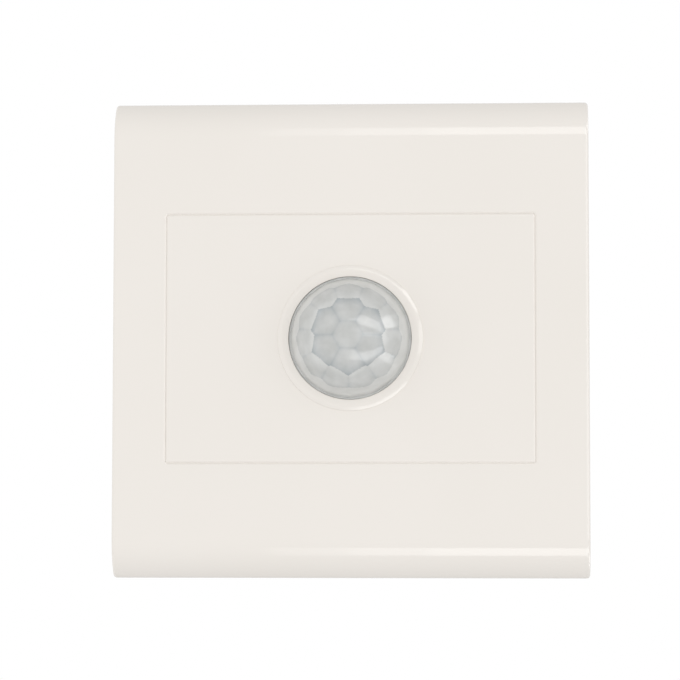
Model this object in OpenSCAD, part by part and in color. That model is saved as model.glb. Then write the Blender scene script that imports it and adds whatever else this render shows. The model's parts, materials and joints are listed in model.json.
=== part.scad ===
// Motion sensor light switch for a square wall box.
// Lengths are in millimetres. Each piece is drawn with the wall as z = 0, z out of the wall and y up,
// and upright() then stands it so that its front faces -Y and +Z is up.

/* [Front plate] */
// Width and height of the plate at its rear edge
plate_size = 86; // [85:0.5:90]
// Distance from the wall to the plate's face
plate_depth = 9; // [8.6:0.1:11]
// How much narrower the plate is at its face than at its rear edge
plate_draft = 0.3; // [0.2:0.1:1.4]
// Wall thickness of the front plate
plate_wall = 1.8; // [1.5:0.1:2.1]
// Radius of the roll along the top and bottom edges
roll_radius = 8.8; // [8.2:0.1:10]
// Width of the roll along the top and bottom edges
roll_width = 7.15; // [6:0.05:7.6]
// Rounding along the left and right edges
side_round = 0.9; // [0.4:0.1:1.4]
// Gap between the plate's rear edge and the wall
wall_gap = 0.3; // [0.2:0.1:0.6]

/* [Centre panel] */
// Width of the plate's window
window_w = 66.4; // [65:0.1:67.5]
// Height of the plate's window
window_h = 44.8; // [43.8:0.1:45.8]
// Corner radius of the window
window_corner = 0.7; // [0.5:0.1:1.5]
// Gap all round between the panel and the window
panel_gap = 0.1; // [0.06:0.02:0.2]
// Bevel on both edges of the gap
panel_bevel = 0.25; // [0.1:0.05:0.3]
// Width of the raised ring around the lens
ring_width = 2.2; // [1.6:0.05:2.6]
// Height of the raised ring's crest above the panel
ring_height = 0.65; // [0.4:0.05:0.9]

/* [Lens] */
// Radius of the lens dome
lens_radius = 10.75; // [10.3:0.05:11.3]
// Gap all round between the dome and the panel
lens_gap = 0.3; // [0.2:0.05:0.5]
// Wall thickness of the lens where two facets meet
lens_wall = 0.75; // [0.7:0.05:1]
// Facets in the first ring around the crown
inner_facets = 6; // [5:1:7]
// Facets in the second ring
middle_facets = 11; // [10:1:12]
// Facets in the third ring
outer_facets = 16; // [14:1:18]

/* [Wall fixing] */
// Distance between the two box screws
screw_spacing = 60.3; // [60:0.1:61]
// Width of a box screw's slot
slot_w = 4.2; // [4:0.1:4.6]
// Length of a box screw's slot from end to end
slot_length = 7; // [6:0.1:7.5]
// Room for the box screws' heads between the base and the plate
head_room = 2.8; // [2.5:0.1:3]
// Thickness of the base's front wall
base_wall = 1.8; // [1.6:0.1:2]

/* [Rear housing] */
// Width of the housing
housing_w = 62; // [61:0.5:63]
// Height of the housing
housing_h = 48; // [47.5:0.1:48.3]
// How far the housing reaches behind the wall
housing_depth = 19; // [18.6:0.2:22]
// Wall thickness of the housing
housing_wall = 1.6; // [1.4:0.1:1.8]
// Thickness of the circuit board
board_thick = 1.6; // [1.2:0.2:2]

/* [Terminals] */
// Distance between neighbouring wire terminals
pole_pitch = 9.5; // [9.2:0.1:10.2]
// Width of a wire's entry hole
wire_hole = 3.8; // [3.2:0.1:3.9]
// Thread pitch of a terminal screw
thread_pitch = 0.6; // [0.5:0.05:0.6]
// Turns of a terminal screw from open to shut
clamp_turns = 6; // [5:1:6]

/* [Adjusters] */
// Radius of an adjuster's shaft
knob_r = 3; // [2.6:0.1:3.2]
// Distance of the adjusters from the board's side edges
knob_inset = 6.7; // [6.4:0.1:7.2]

/* [Hidden] */
$fn = 72;

// Overshoot of a cutting tool past the face that it cuts
over = 1;
// Clearance of a sliding piece, and of a shaft that turns in a hole
slide_gap = 0.2;
turn_gap = 0.06;

// Heights above the wall
skin_z = plate_depth - plate_wall;
base_front_z = skin_z - head_room;
base_rear_z = base_front_z - base_wall;
flange_z = base_rear_z - housing_wall;
board_front_z = base_rear_z - 1.4;
board_rear_z = board_front_z - board_thick;
floor_z = housing_wall - housing_depth;

// Front plate
plate_half = plate_size / 2;
draft_angle = atan(plate_draft / 2 / (plate_depth - wall_gap));
round_z = plate_depth - side_round;
round_x = plate_half - (round_z - wall_gap) * tan(draft_angle) - side_round / cos(draft_angle);
inner_half_x = plate_half - plate_draft / 2 - plate_wall + 0.3;
rebate = 0.8;
rebate_z = plate_depth - 0.7;
lip_wall = 1.2;
lip_depth = 1.4;
plate_rib = 1;
plate_rib_x = 20;
snap_length = 9;
snap_y = 20;
snap_low_z = 1.2;
snap_high_z = 2.2;
pry_x = -36.5;
pry_w = 5;
pry_h = 1.9;

// Centre panel
panel_w = window_w - 2 * panel_gap;
panel_h = window_h - 2 * panel_gap;
panel_corner = window_corner - panel_gap;
shoulder = rebate + panel_gap - 0.15;
shoulder_z = rebate_z - 0.1;
skirt_wall = 1.4;
skirt_w = panel_w - 2.4;
skirt_h = panel_h - 2.4;
bore_r = lens_radius + lens_gap;
ring_curve = 1.6;
leg_thick = 1.4;
leg_w = 6;
leg_y = 12;
leg_drop = 3.6;
barb = 0.9;

// Lens
dome_z = plate_depth - 1;
lens_flange_r = bore_r + 1.8;
lens_flange = 0.8;
boss_wall = 1.4;
retainer_thick = 0.9;
facet_d = lens_radius * cos(17.4);
outer_facet_d = lens_radius * cos(13.5);
facet_tilts = [0, 24.5, 45, 66.5];
facet_counts = [1, inner_facets, middle_facets, outer_facets];
cutter = 8;

// Mounting base
base_half = inner_half_x - 0.4;
base_corner = 3;
rim_wall = 1.6;
pad_w = 15;
pad_h = 11;
opening_half_w = housing_w / 2 - housing_wall;
opening_half_h = skirt_h / 2 - skirt_wall - 0.4;

// Rear housing
cavity_w = housing_w - 2 * housing_wall;
cavity_h = housing_h - 2 * housing_wall;
ear_w = 12;
ear_lap = 3;
ear_reach = 7.4;
ear_screw = [19, housing_h / 2 + 4.2];
ear_screw_r = 1.25;
ear_head_r = 2.2;
ear_head = 0.9;
ear_boss_r = 2.1;
ear_boss = 0.9;
post_r = 2.6;
board_w = cavity_w - 2 * (leg_thick + 0.8);
board_h = cavity_h - 3.2;
post = [board_w / 2 - 3.5, board_h / 2 - 4];
board_screw_r = 0.95;
board_screw_length = 7;
vent_w = 1.4;
vent_length = 14;
vent_pitch = 3.2;

// The components' places and sizes are drawn for a 54.4 x 41.6 board with 17 behind it, and go with the board
layout = [board_w / 54.4, board_h / 41.6, (board_rear_z - floor_z) / 17];
layout_r = min(layout.x, layout.y);

// Motion sensor and light sensor
can_r = 4.1;
can_flange_r = 4.6;
can_top_z = plate_depth - 1.8;
can_bottom_z = can_top_z - 3.8;
can_flange = 0.5;
can_tab = 0.8;
can_tab_w = 0.9;
can_window = [4, 3, 0.3];
lead_r = 0.24;
lead_hole_r = 0.34;
lead_ring = 2.54;
lead_tail = 1.2;
cell = [7.1, -4.1];
cell_r = 2.55;
cell_thick = 2;
cell_lift = 2;

// Terminals, counted back from the board
block_depth = 12.4;
block_w = 3 * pole_pitch;
block_front_y = 0.4 - housing_h / 2;
block_rear_z = 0.4 - housing_depth;
clamp_travel = thread_pitch * clamp_turns;
wire_room = clamp_travel + 0.2;
cage_w = 6.8;
cage_wall = 0.9;
cage_nut = 1.8;
cage_foot = 1;
cage_length = 6;
bar_thick = 1;
bar_w = 4.4;
cage_room = wire_room + bar_thick + 0.2;
cage_h = cage_room + cage_nut + cage_foot;
chamber_w = cage_w + 2 * slide_gap;
chamber_length = cage_length + 2 * slide_gap;
chamber_top_z = board_rear_z - 1.9;
chamber_end_z = chamber_top_z - cage_h - clamp_travel - 0.5;
seat_z = chamber_end_z - 1.2;
cage_top_z = chamber_top_z - 0.25;
bar_front_z = cage_top_z - cage_foot - wire_room;
wire_z = bar_front_z + wire_room / 2;
chamber_y = block_front_y + 4 + chamber_length / 2;
screw_r = 1.7;
screw_head_r = 2.8;
screw_head = 2;
well_r = 3.05;
pin_w = 1.6;
pin_thick = 0.8;
pin_y = chamber_y + chamber_length / 2 + 0.6;
part_gap = 0.05;

// Adjusters
pot_size = 9;
pot_height = 5;
knob_x = board_w / 2 - knob_inset;
knob_y = -5;
knob_seat_z = board_rear_z - 2.2;
knob_end_z = 0.4 - housing_depth;

white_plastic = [0.94, 0.92, 0.89];
lens_plastic = [0.79, 0.79, 0.79];
base_plastic = [0.86, 0.85, 0.82];
grey_plastic = [0.55, 0.56, 0.57];
board_green = [0.1, 0.34, 0.2];
steel = [0.72, 0.72, 0.73];
brass = [0.78, 0.62, 0.3];
black_plastic = [0.08, 0.08, 0.09];

module upright() {
    rotate([90, 0, 0])
        children();
}

module each_side() {
    for (side = [-1, 1])
        scale([side, 1, 1])
            children();
}

module four_corners(point) {
    for (x = [-1, 1], y = [-1, 1])
        translate([x * point.x, y * point.y, 0])
            children();
}

// A box from z = low to z = high, centred on the z axis
module block(w, h, low, high) {
    translate([-w / 2, -h / 2, low])
        cube([w, h, high - low]);
}

// The same with round upright corners
module round_block(w, h, r, low, high) {
    block(w - 2 * r, h, low, high);
    block(w, h - 2 * r, low, high);
    four_corners([w / 2 - r, h / 2 - r])
        translate([0, 0, low])
            cylinder(r = r, h = high - low);
}

// A round block whose sides spread by grow, or close in if grow is negative, from low to high
module spread_block(w, h, r, grow, low, high) {
    rise = high - low;
    translate([0, 0, low])
        rotate([90, 0, 0])
            linear_extrude(height = h - 2 * r, center = true)
                spread_outline(w, grow, rise);
    translate([0, 0, low])
        rotate([90, 0, 90])
            linear_extrude(height = w - 2 * r, center = true)
                spread_outline(h, grow, rise);
    four_corners([w / 2 - r, h / 2 - r])
        translate([0, 0, low])
            cylinder(r1 = r, r2 = r + grow, h = rise);
}

module spread_outline(w, grow, rise) {
    polygon([[-w / 2, 0], [w / 2, 0], [w / 2 + grow, rise], [-w / 2 - grow, rise]]);
}

module tube(outer, inner, low, high) {
    translate([0, 0, low])
        difference() {
            cylinder(r = outer, h = high - low);
            translate([0, 0, -over])
                cylinder(r = inner, h = high - low + 2 * over);
        }
}

module rod(r, low, high) {
    translate([0, 0, low])
        cylinder(r = r, h = high - low);
}

// A screw slot along y, cut from low to high
module screw_slot(low, high) {
    run = slot_length - slot_w;
    block(slot_w, run, low, high);
    for (y = [-run / 2, run / 2])
        translate([0, y, 0])
            rod(slot_w / 2, low, high);
}

// Side view of the plate: a flat face with a roll at both ends
module roll_outline(half, top, radius, width, low) {
    translate([width - half, low])
        square([2 * (half - width), top - low]);
    for (side = [-1, 1])
        intersection() {
            translate([side * (half - width), top - radius])
                circle(radius);
            translate([side > 0 ? half - width : -half, low])
                square([width, top - low]);
        }
}

// View of the plate from above: drafted sides with a rounding up to the face
module draft_outline() {
    touch = [round_x + side_round * cos(draft_angle), round_z + side_round * sin(draft_angle)];
    polygon([
        [-plate_half, wall_gap],
        [plate_half, wall_gap],
        touch,
        [round_x, plate_depth],
        [-round_x, plate_depth],
        [-touch.x, touch.y]
    ]);
    for (side = [-1, 1])
        translate([side * round_x, round_z])
            circle(side_round);
}

module plate_body() {
    intersection() {
        rotate([90, 0, 90])
            linear_extrude(height = plate_size + 2 * over, center = true)
                roll_outline(plate_half, plate_depth, roll_radius, roll_width, wall_gap);
        rotate([90, 0, 0])
            linear_extrude(height = plate_size + 2 * over, center = true)
                draft_outline();
    }
}

module plate_hollow() {
    rotate([90, 0, 90])
        linear_extrude(height = 2 * inner_half_x, center = true)
            roll_outline(
                plate_half - plate_wall, skin_z, roll_radius - plate_wall, roll_width - plate_wall, wall_gap - over
            );
}

// Ribs across the plate's back, from the window's lip to the walls
module plate_ribs() {
    rib_high = skin_z + plate_wall / 2;
    rib_low = skin_z - lip_depth;
    intersection() {
        plate_body();
        difference() {
            for (x = [-plate_rib_x, plate_rib_x])
                translate([x, 0, 0])
                    block(plate_rib, plate_size, rib_low, rib_high);
            block(window_w, window_h + 2 * rebate + lip_wall, rib_low - over, rib_high + over);
        }
    }
}

module front_frame() {
    color(white_plastic)
        upright() {
            difference() {
                union() {
                    difference() {
                        plate_body();
                        plate_hollow();
                    }
                    plate_ribs();
                    difference() {
                        round_block(
                            window_w + 2 * (rebate + lip_wall), window_h + 2 * (rebate + lip_wall),
                            window_corner + rebate + lip_wall, skin_z - lip_depth, skin_z + plate_wall / 2
                        );
                        block(window_w, window_h, skin_z - lip_depth - over, plate_depth);
                    }
                    each_side()
                        for (y = [-snap_y, snap_y])
                            translate([inner_half_x - 0.25, y - snap_length / 2, snap_low_z])
                                cube([0.5, snap_length, snap_high_z - snap_low_z]);
                }
                round_block(window_w, window_h, window_corner, 0, plate_depth + over);
                round_block(
                    window_w + 2 * rebate, window_h + 2 * rebate, window_corner + rebate, 0, rebate_z
                );
                spread_block(
                    window_w, window_h, window_corner, 2 * panel_bevel,
                    plate_depth - panel_bevel, plate_depth + panel_bevel
                );
                translate([pry_x, -plate_half, 0])
                    block(pry_w, 4 * plate_wall, wall_gap - over, pry_h);
            }
        }
}

module panel_leg() {
    translate([cavity_w / 2 - slide_gap - leg_thick, leg_y - leg_w / 2, -leg_drop])
        cube([leg_thick, leg_w, skin_z + leg_drop + plate_wall / 2]);
    translate([cavity_w / 2 - slide_gap - leg_thick / 2, leg_y - leg_w / 2, 0.4 - leg_drop])
        cube([leg_thick / 2 + slide_gap + barb, leg_w, 1.5]);
}

module lens_ring() {
    rotate_extrude()
        intersection() {
            translate([bore_r + ring_width / 2, plate_depth + ring_height - ring_curve])
                circle(ring_curve);
            translate([bore_r - over / 2, plate_depth - plate_wall / 2])
                square([ring_width + over / 2, 3 * ring_curve]);
        }
}

module centre_panel() {
    bevel_z = plate_depth - panel_bevel;
    color(white_plastic)
        upright()
            difference() {
                union() {
                    round_block(panel_w, panel_h, panel_corner, skin_z, bevel_z);
                    spread_block(panel_w, panel_h, panel_corner, -panel_bevel, bevel_z, plate_depth);
                    round_block(
                        panel_w + 2 * shoulder, panel_h + 2 * shoulder, panel_corner + shoulder, skin_z, shoulder_z
                    );
                    difference() {
                        block(skirt_w, skirt_h, base_front_z, skin_z + plate_wall / 2);
                        block(
                            skirt_w - 2 * skirt_wall, skirt_h - 2 * skirt_wall, base_front_z - over, skin_z
                        );
                    }
                    lens_ring();
                    tube(
                        lens_flange_r + boss_wall, lens_flange_r,
                        skin_z - lens_flange - retainer_thick, skin_z + plate_wall / 2
                    );
                    each_side() {
                        panel_leg();
                        mirror([0, 1, 0])
                            panel_leg();
                    }
                }
                rod(bore_r, skin_z - over, plate_depth + 2 * ring_curve);
            }
}

// Half of the dome's cross-section, with its neck and flange below
module lens_outline() {
    inner_r = lens_radius - lens_wall;
    flange_low = skin_z - lens_flange;
    difference() {
        union() {
            intersection() {
                translate([0, dome_z])
                    circle(lens_radius);
                translate([0, dome_z])
                    square(lens_radius + over);
            }
            translate([0, flange_low])
                square([lens_radius, dome_z - flange_low]);
            translate([0, flange_low])
                square([lens_flange_r - part_gap, lens_flange]);
        }
        intersection() {
            translate([0, dome_z])
                circle(inner_r);
            translate([0, dome_z])
                square(lens_radius + over);
        }
        translate([-over, flange_low - over])
            square([inner_r + over, dome_z - flange_low + over]);
    }
}

module fresnel_lens() {
    color(lens_plastic)
        upright()
            difference() {
                rotate_extrude()
                    lens_outline();
                for (ring = [0 : 3], spoke = [0 : facet_counts[ring] - 1])
                    translate([0, 0, dome_z])
                        rotate([0, facet_tilts[ring], 90 + spoke * 360 / facet_counts[ring]])
                            block(cutter, cutter, ring == 3 ? outer_facet_d : facet_d, lens_radius + over);
            }
}

module lens_retainer() {
    ring_high = skin_z - lens_flange;
    color(grey_plastic)
        upright()
            tube(lens_flange_r - part_gap, lens_radius - lens_wall, ring_high - retainer_thick, ring_high);
}

module ear_screw_places() {
    four_corners(ear_screw)
        children();
}

module mounting_base() {
    base_size = 2 * base_half;
    color(base_plastic)
        upright()
            difference() {
                union() {
                    difference() {
                        round_block(base_size, base_size, base_corner, 0, base_front_z);
                        round_block(
                            base_size - 2 * rim_wall, base_size - 2 * rim_wall,
                            base_corner - rim_wall, -over, base_rear_z
                        );
                    }
                    for (y = [-screw_spacing / 2, screw_spacing / 2])
                        translate([0, y, 0])
                            round_block(pad_w, pad_h, 1.5, 0, base_front_z);
                    ear_screw_places()
                        rod(ear_boss_r, base_rear_z, base_front_z + ear_boss);
                }
                block(2 * opening_half_w, 2 * opening_half_h, -over, base_front_z + over);
                for (y = [-screw_spacing / 2, screw_spacing / 2])
                    translate([0, y, 0])
                        screw_slot(-over, base_front_z + over);
                ear_screw_places()
                    rod(ear_screw_r, 0, base_front_z + ear_boss - 0.4);
                each_side()
                    for (y = [-snap_y, snap_y])
                        translate([base_half - 0.5, y, 0])
                            block(1, snap_length + 2, snap_low_z - 0.2, snap_high_z + 0.2);
            }
}

module housing_shell() {
    difference() {
        union() {
            round_block(housing_w, housing_h, 3, -housing_depth, base_rear_z);
            four_corners([ear_screw.x, (housing_h - ear_lap + ear_reach) / 2])
                round_block(ear_w, ear_lap + ear_reach, 2, flange_z, base_rear_z);
        }
        round_block(cavity_w, cavity_h, 1.4, floor_z, base_rear_z + over);
    }
}

module rear_housing() {
    color(base_plastic)
        upright()
            difference() {
                union() {
                    housing_shell();
                    four_corners(post)
                        rod(post_r, floor_z - housing_wall / 2, board_rear_z);
                }
                translate([0, block_front_y + block_depth / 2, 0])
                    block(
                        block_w + 2 * slide_gap, block_depth + 2 * slide_gap + 2 * over,
                        -housing_depth - over, board_rear_z + slide_gap
                    );
                for (x = [-knob_x, knob_x])
                    translate([x, knob_y, 0])
                        rod(knob_r + turn_gap, -housing_depth - over, floor_z + over);
                each_side()
                    for (y = [-leg_y, leg_y])
                        translate([housing_w / 2, y, 0])
                            block(4 * housing_wall, leg_w + 2 * slide_gap, 0.2 - leg_drop, 2.1 - leg_drop);
                ear_screw_places()
                    rod(ear_screw_r, flange_z - over, base_rear_z + over);
                four_corners(post)
                    rod(board_screw_r, board_rear_z - board_screw_length, board_rear_z + over);
                for (slot = [-2 : 2])
                    translate([slot * vent_pitch, knob_y + 2 + vent_length / 2, 0])
                        block(vent_w, vent_length, -housing_depth - over, floor_z + over);
            }
}

module housing_screws() {
    color(steel)
        upright()
            ear_screw_places()
                difference() {
                    union() {
                        rod(ear_head_r, flange_z - ear_head, flange_z);
                        rod(ear_screw_r, flange_z - ear_head / 2, base_front_z);
                    }
                    block(0.6, 3 * ear_head_r, flange_z - ear_head - over, flange_z - ear_head / 2);
                }
}

module lead_places() {
    for (turn = [0, 120, 240])
        rotate([0, 0, turn + 45])
            translate([lead_ring, 0, 0])
                children();
}

module cell_lead_places() {
    for (y = [-1.7, 1.7])
        translate([cell.x, cell.y + y, 0])
            children();
}

module pole_places() {
    for (pole = [-1 : 1])
        translate([pole * pole_pitch, 0, 0])
            children();
}

module circuit_board() {
    color(board_green)
        upright()
            difference() {
                round_block(board_w, board_h, 1, board_rear_z, board_front_z);
                four_corners(post)
                    rod(board_screw_r + 0.15, board_rear_z - over, board_front_z + over);
                lead_places()
                    rod(lead_hole_r, board_rear_z - over, board_front_z + over);
                cell_lead_places()
                    rod(lead_hole_r, board_rear_z - over, board_front_z + over);
                pole_places()
                    translate([0, pin_y, 0])
                        block(
                            pin_w + 2 * part_gap, pin_thick + 2 * part_gap, board_rear_z - over, board_front_z + over
                        );
            }
}

module board_screws() {
    color(steel)
        upright()
            four_corners(post)
                difference() {
                    union() {
                        rod(1.9, board_front_z, board_front_z + 1.3);
                        rod(board_screw_r, board_rear_z - board_screw_length + 1, board_front_z + 0.5);
                    }
                    for (turn = [0, 90])
                        rotate([0, 0, turn])
                            block(0.5, 2.4, board_front_z + 0.6, board_front_z + 1.3 + over);
                }
}

module sensor_spacer() {
    color(grey_plastic)
        upright()
            difference() {
                rod(can_r, board_front_z, can_bottom_z);
                lead_places()
                    rod(lead_hole_r, board_front_z - over, can_bottom_z + over);
            }
}

module pir_can() {
    color(steel)
        upright()
            difference() {
                union() {
                    translate([0, 0, can_bottom_z])
                        linear_extrude(height = can_flange) {
                            circle(can_flange_r);
                            rotate(45)
                                translate([can_flange_r - 1, -can_tab_w / 2])
                                    square([1 + can_tab, can_tab_w]);
                        }
                    rod(can_r, can_bottom_z + can_flange / 2, can_top_z);
                }
                block(can_window.x, can_window.y, can_top_z - can_window.z, can_top_z + over);
            }
}

module pir_window() {
    color(black_plastic)
        upright()
            block(
                can_window.x - 2 * part_gap, can_window.y - 2 * part_gap,
                can_top_z - can_window.z, can_top_z + can_window.z / 3
            );
}

module pir_leads() {
    color(steel)
        upright()
            lead_places()
                rod(lead_r, board_rear_z - lead_tail, can_bottom_z);
}

module light_sensor() {
    low = board_front_z + cell_lift;
    color([0.75, 0.42, 0.25])
        upright()
            translate([cell.x, cell.y, 0]) {
                difference() {
                    rod(cell_r, low, low + cell_thick);
                    for (track = [-2 : 2])
                        translate([track * 0.7, 0, 0])
                            block(0.3, 3, low + cell_thick - 0.2, low + cell_thick + over);
                }
            }
}

module light_sensor_leads() {
    color(steel)
        upright()
            cell_lead_places()
                rod(lead_r, board_rear_z - lead_tail, board_front_z + cell_lift);
}

// Moves a component to its place on the board
module on_board(x, y) {
    translate([x * layout.x, y * layout.y, 0])
        children();
}

// A boxed component on the rear of the board
module boxed(place, size, r) {
    upright()
        on_board(place.x, place.y)
            round_block(
                size.x * layout.x, size.y * layout.y, r, board_rear_z - size.z * layout.z, board_rear_z
            );
}

module relay() {
    color([0.12, 0.2, 0.42])
        boxed([-10.5, 9], [19, 15.5, 15.3], 0.6);
}

module film_capacitor() {
    color([0.85, 0.75, 0.3])
        boxed([10.5, 13.4], [18, 8, 13.5], 0.8);
}

module electrolytic_capacitor() {
    r = 4 * layout_r;
    end_z = board_rear_z - 12 * layout.z;
    color(black_plastic)
        upright()
            on_board(7.5, 4)
                difference() {
                    rod(r, end_z, board_rear_z);
                    tube(r + over, r - 0.3, board_rear_z - 1.6, board_rear_z - 1);
                    for (turn = [0, 90])
                        rotate([0, 0, turn])
                            block(0.3, 1.5 * r, end_z - over, end_z + 0.2);
                }
}

module fuse() {
    color([0.35, 0.12, 0.1])
        upright()
            on_board(17, 4.3)
                rod(4.1 * layout_r, board_rear_z - 7.6 * layout.z, board_rear_z);
}

module surge_absorber() {
    r = 4.5 * layout_r;
    axis_z = board_rear_z - 6.3 * layout.z;
    color([0.15, 0.3, 0.6])
        upright()
            on_board(24, 5.5) {
                translate([0, 0, axis_z])
                    rotate([0, 90, 0])
                        cylinder(r = r, h = 0.8 * r, center = true);
                block(0.6, 1.25 * r, axis_z, board_rear_z);
            }
}

module rectifier() {
    color(black_plastic)
        boxed([0, -5], [4.8, 4, 2.5], 0.3);
}

module resistors() {
    body_r = 1.2 * layout_r;
    wire_r = 0.25 * body_r;
    reach = 4.7 * layout.x;
    color([0.3, 0.5, 0.6])
        upright()
            for (y = [-8.4, -4.4])
                on_board(-8.2, y)
                    translate([0, 0, board_rear_z - body_r])
                        rotate([0, 90, 0]) {
                            cylinder(r = body_r, h = 1.4 * reach, center = true);
                            cylinder(r = wire_r, h = 2 * (reach + wire_r), center = true);
                            for (end = [-reach, reach])
                                translate([0, 0, end])
                                    rotate([0, 90, 0])
                                        translate([0, 0, -body_r])
                                            cylinder(r = wire_r, h = body_r);
                        }
}

module control_chip() {
    body = [10 * layout.x, 4 * layout.y, 1.5];
    color(black_plastic)
        upright()
            on_board(-17, 0)
                difference() {
                    union() {
                        block(body.x, body.y, board_front_z + 0.15, board_front_z + body.z);
                        for (pin = [-3.5 : 3.5])
                            translate([pin * body.x / 8, 0, 0])
                                block(0.45, 1.5 * body.y, board_front_z, board_front_z + 0.25);
                    }
                    translate([1 - body.x / 2, -body.y / 4, 0])
                        rod(0.4, board_front_z + body.z - 0.2, board_front_z + body.z + over);
                }
}

module pot(side) {
    color([0.15, 0.32, 0.55])
        upright()
            translate([side * knob_x, knob_y, 0])
                difference() {
                    round_block(pot_size, pot_size, 0.5, board_rear_z - pot_height, board_rear_z);
                    rod(knob_r + turn_gap, board_rear_z - pot_height - over, knob_seat_z + part_gap);
                }
}

module knob(side) {
    color([0.9, 0.88, 0.83])
        upright()
            translate([side * knob_x, knob_y, 0])
                difference() {
                    rod(knob_r, knob_end_z, knob_seat_z);
                    block(0.9, 3 * knob_r, knob_end_z - over, knob_end_z + 1.4);
                    translate([0, knob_r * 0.75, 0])
                        rod(0.35, knob_end_z - over, knob_end_z + 0.4);
                }
}

module time_pot() {
    pot(-1);
}

module lux_pot() {
    pot(1);
}

module time_knob() {
    knob(-1);
}

module lux_knob() {
    knob(1);
}

// One contact bar with the pin that goes through the board, grown by gap where a pocket is cut for it
module contact_bar(gap) {
    front_y = chamber_y - chamber_length / 2 - 0.6 - gap;
    rear_y = pin_y + pin_thick / 2 + gap;
    translate([-bar_w / 2 - gap, front_y, bar_front_z - bar_thick - gap])
        cube([bar_w + 2 * gap, rear_y - front_y, bar_thick + 2 * gap]);
    translate([0, pin_y, 0])
        block(
            pin_w + 2 * gap, pin_thick + 2 * gap, bar_front_z - bar_thick - gap, board_front_z + 0.8
        );
}

module terminal_block() {
    color(grey_plastic)
        upright()
            difference() {
                translate([0, block_front_y + block_depth / 2, 0])
                    block(block_w, block_depth, block_rear_z, board_rear_z);
                pole_places() {
                    translate([0, chamber_y, 0]) {
                        block(chamber_w, chamber_length, chamber_end_z, chamber_top_z);
                        rod(well_r, block_rear_z - over, seat_z);
                        rod(screw_r + turn_gap, seat_z - over, chamber_end_z + over);
                    }
                    translate([0, block_front_y - over, wire_z])
                        rotate([-90, 0, 0])
                            cylinder(r = wire_hole / 2, h = 4 + 2 * over);
                    contact_bar(part_gap);
                }
                for (x = [-pole_pitch / 2, pole_pitch / 2])
                    translate([x, block_front_y, 0])
                        block(1, 1.6, block_rear_z - over, board_rear_z + over);
            }
}

module terminal_bars() {
    color(brass)
        upright()
            pole_places()
                contact_bar(0);
}

module terminal_screw(pole) {
    head_z = seat_z - part_gap;
    color(steel)
        upright()
            translate([pole * pole_pitch, chamber_y, 0])
                difference() {
                    union() {
                        rod(screw_head_r, head_z - screw_head, head_z);
                        rod(screw_r, head_z - screw_head / 2, bar_front_z - bar_thick - part_gap);
                    }
                    block(0.9, 3 * screw_head_r, head_z - screw_head - over, head_z - screw_head + 0.9);
                    block(3.6, 0.9, head_z - screw_head - over, head_z - screw_head + 0.9);
                }
}

module clamp_cage(pole) {
    color(steel)
        upright()
            translate([pole * pole_pitch, chamber_y, 0])
                difference() {
                    block(cage_w, cage_length, cage_top_z - cage_h, cage_top_z);
                    block(
                        cage_w - 2 * cage_wall, cage_length + 2 * over,
                        cage_top_z - cage_foot - cage_room, cage_top_z - cage_foot
                    );
                    rod(screw_r + turn_gap, cage_top_z - cage_h - over, cage_top_z - cage_foot - cage_room + over);
                }
}

module terminal_screw_1() {
    terminal_screw(-1);
}

module terminal_screw_2() {
    terminal_screw(0);
}

module terminal_screw_3() {
    terminal_screw(1);
}

module clamp_cage_1() {
    clamp_cage(-1);
}

module clamp_cage_2() {
    clamp_cage(0);
}

module clamp_cage_3() {
    clamp_cage(1);
}

front_frame();
centre_panel();
fresnel_lens();
lens_retainer();
mounting_base();
rear_housing();
housing_screws();
circuit_board();
board_screws();
pir_can();
pir_window();
pir_leads();
sensor_spacer();
light_sensor();
light_sensor_leads();
relay();
film_capacitor();
electrolytic_capacitor();
fuse();
surge_absorber();
rectifier();
resistors();
control_chip();
time_pot();
lux_pot();
time_knob();
lux_knob();
terminal_block();
terminal_bars();
terminal_screw_1();
terminal_screw_2();
terminal_screw_3();
clamp_cage_1();
clamp_cage_2();
clamp_cage_3();
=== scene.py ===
import json
import math

import bmesh
import bpy
from mathutils import Matrix, Vector


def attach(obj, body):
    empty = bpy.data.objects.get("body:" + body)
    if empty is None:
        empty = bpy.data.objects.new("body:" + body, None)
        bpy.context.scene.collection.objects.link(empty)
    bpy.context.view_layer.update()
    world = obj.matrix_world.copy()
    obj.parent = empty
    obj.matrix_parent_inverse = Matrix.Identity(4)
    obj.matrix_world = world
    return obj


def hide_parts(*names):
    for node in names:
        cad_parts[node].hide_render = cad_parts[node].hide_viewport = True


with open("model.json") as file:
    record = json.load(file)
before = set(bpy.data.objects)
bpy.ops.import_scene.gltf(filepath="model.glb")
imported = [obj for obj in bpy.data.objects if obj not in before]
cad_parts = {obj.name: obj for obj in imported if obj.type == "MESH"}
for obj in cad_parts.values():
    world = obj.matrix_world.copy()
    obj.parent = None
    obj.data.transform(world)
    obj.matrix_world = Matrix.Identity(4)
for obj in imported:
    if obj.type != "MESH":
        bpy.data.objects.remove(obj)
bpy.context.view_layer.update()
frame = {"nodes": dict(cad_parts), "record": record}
scene = bpy.context.scene
scene.view_settings.view_transform = "Standard"
print("frame loaded:", len(frame["nodes"]), "nodes")

# Pieces are drawn in millimetres with the wall as z = 0, z out of the wall and y up, and then stood up
upright = Matrix.Rotation(math.radians(90), 4, "X")
standUp = upright @ Matrix.Scale(0.001, 4)
hair = 1e-4  # points closer than this count as being in one place
crispAngle = 38  # degrees; an edge that bends further stays crisp
waveUnit = math.tau / 20  # at scale 1 a wave texture runs through 20 radians in a unit; this makes one wave of it


def linear(hexColour):
    channels = [int(hexColour[i:i + 2], 16) / 255 for i in (1, 3, 5)]
    return tuple(c / 12.92 if c <= 0.04045 else ((c + 0.055) / 1.055) ** 2.4 for c in channels) + (1,)


def perMm(size):
    return 1000 / size  # texture scale for a pattern of this size, because Object coordinates are metres


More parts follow.
